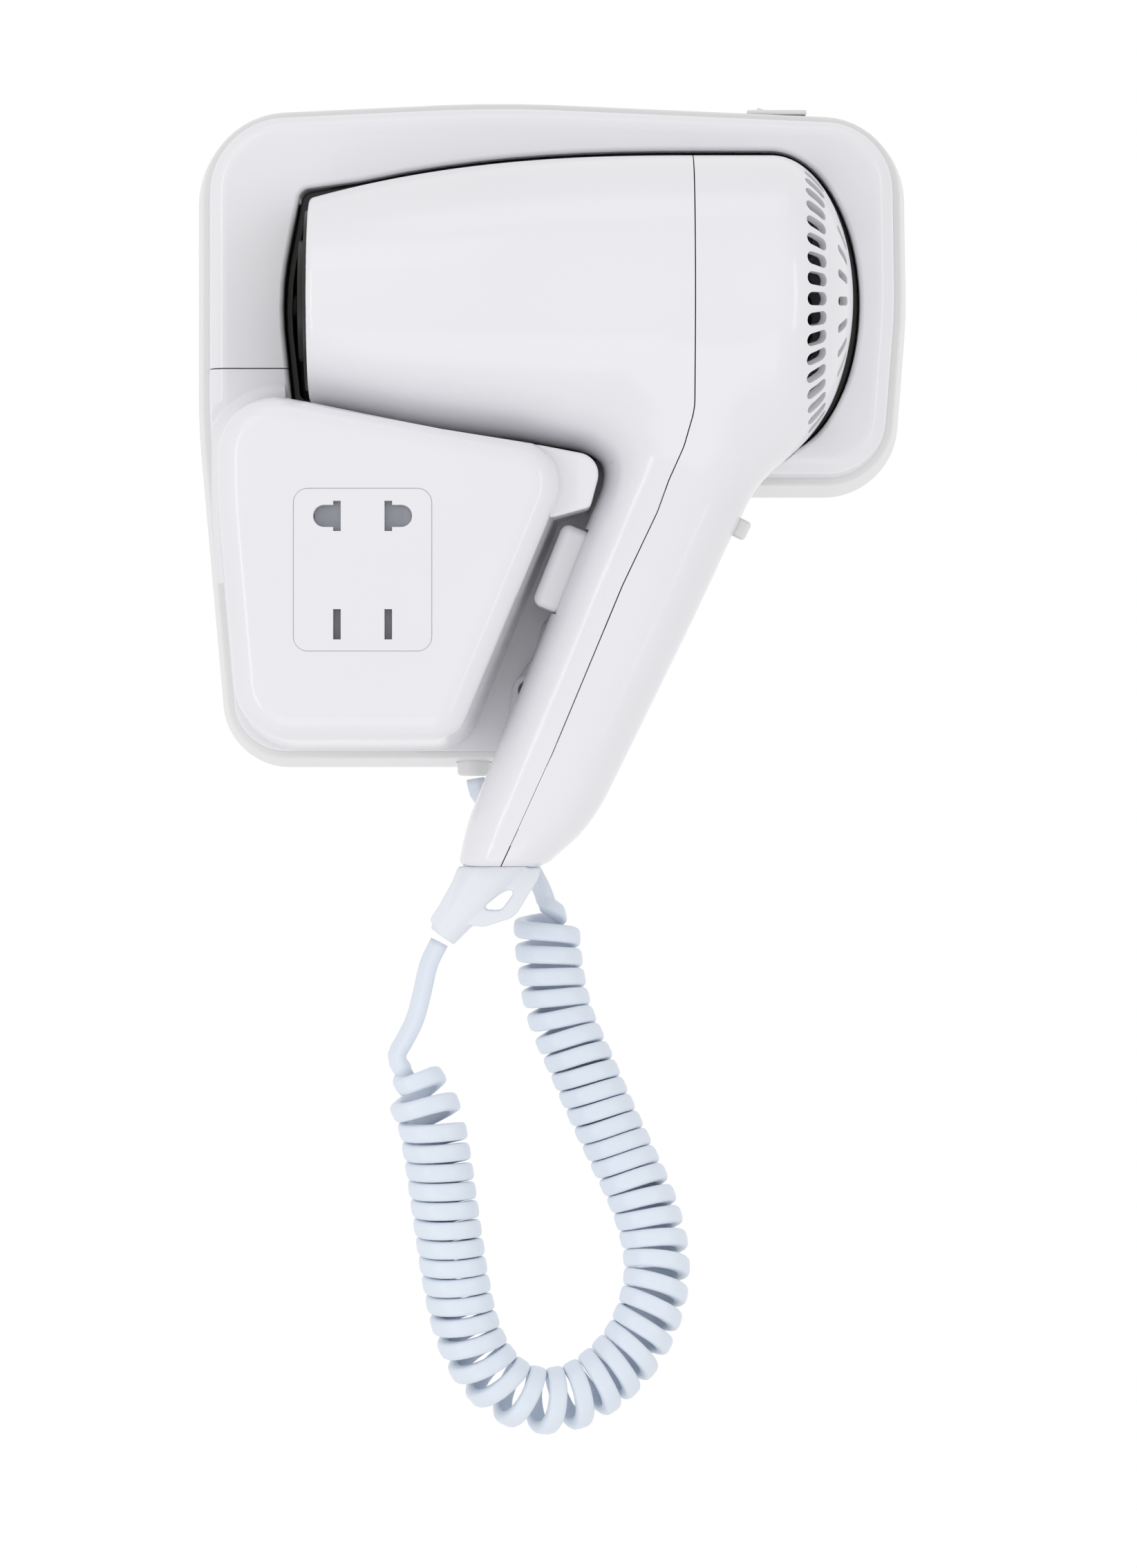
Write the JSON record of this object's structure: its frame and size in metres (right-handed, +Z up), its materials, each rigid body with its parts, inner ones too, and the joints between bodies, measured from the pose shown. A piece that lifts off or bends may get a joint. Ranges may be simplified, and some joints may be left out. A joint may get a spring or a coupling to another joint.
{
  "type": "wall-mounted hair dryer",
  "caption": "Hotel hair dryer resting in a wall holder with a shaver socket, cradle and main switch, on a coiled cord with a strain relief.",
  "frame": {"origin": "middle of the holder's outline on the wall plane", "axes": "+Y into the wall, +Z up, +X to the right as seen from the room; the object stands toward -Y"},
  "size_m": [0.1832, 0.0825, 0.3407],
  "materials": {
    "white_plastic": "gloss",
    "grey_white_plastic": "satin",
    "black_plastic": "satin",
    "grey_plastic": "satin",
    "soft_white": "satin",
    "cord_white": "satin",
    "steel": "satin",
    "brass": "satin",
    "copper": "satin",
    "mica": "matt",
    "board": "satin"
  },
  "bodies": {
    "holder": {"back_shell": "grey_white_plastic", "upper_shell": "white_plastic", "box_cover": "white_plastic", "cradle_liner": "black_plastic", "socket_panel": "white_plastic", "contact_carrier": "grey_plastic", "contact_upper_left": "brass", "contact_upper_right": "brass", "contact_lower_left": "brass", "contact_lower_right": "brass", "upper_shutter_spring": "steel", "lower_shutter_spring": "steel", "transformer_core": "steel", "transformer_winding": "copper", "terminal_block": "soft_white", "main_switch_body": "grey_white_plastic", "cord_grommet": "grey_white_plastic", "upper_screw_left": "steel", "upper_screw_right": "steel", "box_screw_left": "steel", "box_screw_bottom": "steel", "trough_screw": "steel", "cord_coil": "cord_white", "cord_lead_base": "cord_white", "base_lead": "cord_white"},
    "handset": {"front_housing": "white_plastic", "rear_housing": "white_plastic", "outlet_grille": "black_plastic", "heat_shield": "mica", "heater_frame": "mica", "heater_coil": "steel", "thermal_cutout": "steel", "fan_shroud": "grey_plastic", "motor_case": "steel", "dust_screen": "black_plastic", "trigger_spring": "steel", "switch_module": "black_plastic", "rectifier_board": "board", "selector_switch_body": "black_plastic", "strain_relief": "soft_white", "handle_lead": "cord_white", "cord_lead_handset": "cord_white"},
    "fan": {"fan": "grey_plastic", "motor_shaft": "steel"},
    "trigger": {"trigger": "white_plastic"},
    "selector": {"selector_slider": "grey_white_plastic"},
    "rocker": {"main_switch_rocker": "white_plastic"},
    "upper_shutter": {"upper_shutter": "grey_plastic"},
    "lower_shutter": {"lower_shutter": "grey_plastic"}
  },
  "joints": [
    {"name": "handset_lift", "type": "slide", "parent": "holder", "child": "handset", "axis": [0, -1, 0], "range_m": [0, 0.08]},
    {"name": "fan_spin", "type": "hinge", "parent": "handset", "child": "fan", "pos_m": [0.05, -0.046, 0.0309], "axis": [1, 0, 0], "continuous": true},
    {"name": "trigger_press", "type": "slide", "parent": "handset", "child": "trigger", "axis": [0.9283, 0, -0.372], "range_m": [0, 0.003], "stiffness_N_per_m": 400, "springref_m": -0.001},
    {"name": "selector_slide", "type": "slide", "parent": "handset", "child": "selector", "axis": [-0.4364, 0, -0.8998], "range_m": [0, 0.008]},
    {"name": "rocker_tilt", "type": "hinge", "parent": "holder", "child": "rocker", "pos_m": [0.0584, -0.011, 0.0812], "axis": [0, -1, 0], "range_deg": [0, 16]},
    {"name": "upper_shutter_slide", "type": "slide", "parent": "holder", "child": "upper_shutter", "axis": [0, 0, -1], "range_m": [0, 0.0083], "stiffness_N_per_m": 30, "springref_m": -0.002},
    {"name": "lower_shutter_slide", "type": "slide", "parent": "holder", "child": "lower_shutter", "axis": [0, 0, 1], "range_m": [0, 0.0083], "stiffness_N_per_m": 30, "springref_m": -0.002}
  ]
}
